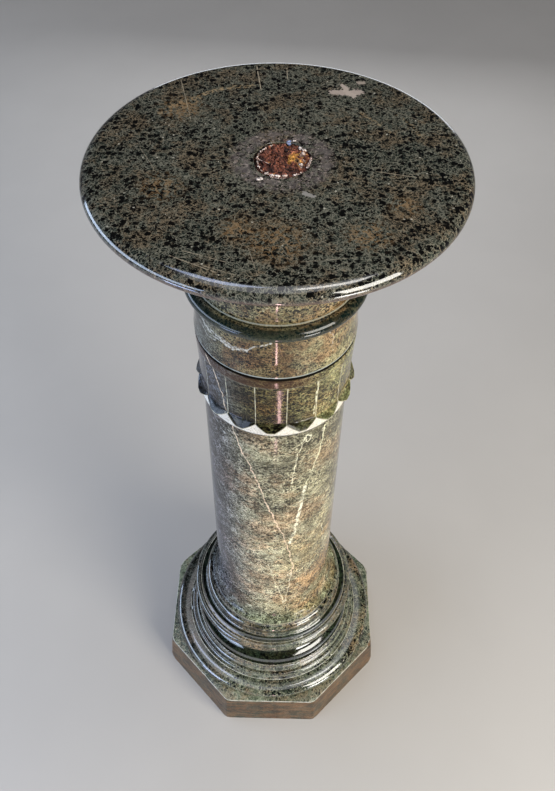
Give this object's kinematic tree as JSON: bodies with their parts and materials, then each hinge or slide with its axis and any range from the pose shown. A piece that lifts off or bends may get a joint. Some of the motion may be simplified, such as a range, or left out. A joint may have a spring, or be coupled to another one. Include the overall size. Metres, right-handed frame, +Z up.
{
  "type": "serpentine column pedestal",
  "caption": "Turned and carved green serpentine pedestal column with a round top slab, a collar of carved tongues on the shaft, a moulded base and an octagonal plinth.",
  "frame": {"origin": "centre of the plinth's underside, on the column's axis", "axes": "+Z up along the column's axis; one flat side of the octagonal plinth faces -Y, the front, and another faces +X"},
  "size_m": [0.3658, 0.3658, 1.006],
  "materials": {
    "plinth_stone": "polished, worn at the arrises",
    "base_stone": "polished",
    "shaft_stone": "polished, with pale and pink veins",
    "capital_stone": "polished",
    "slab_stone": "polished, lightly scratched",
    "rusty_filling": "rough, rusty"
  },
  "bodies": {
    "root": {"plinth": "plinth_stone", "base_moulding": "base_stone", "shaft": "shaft_stone", "capital": "capital_stone", "top_slab": "slab_stone", "socket_filling": "rusty_filling"}
  },
  "joints": []
}
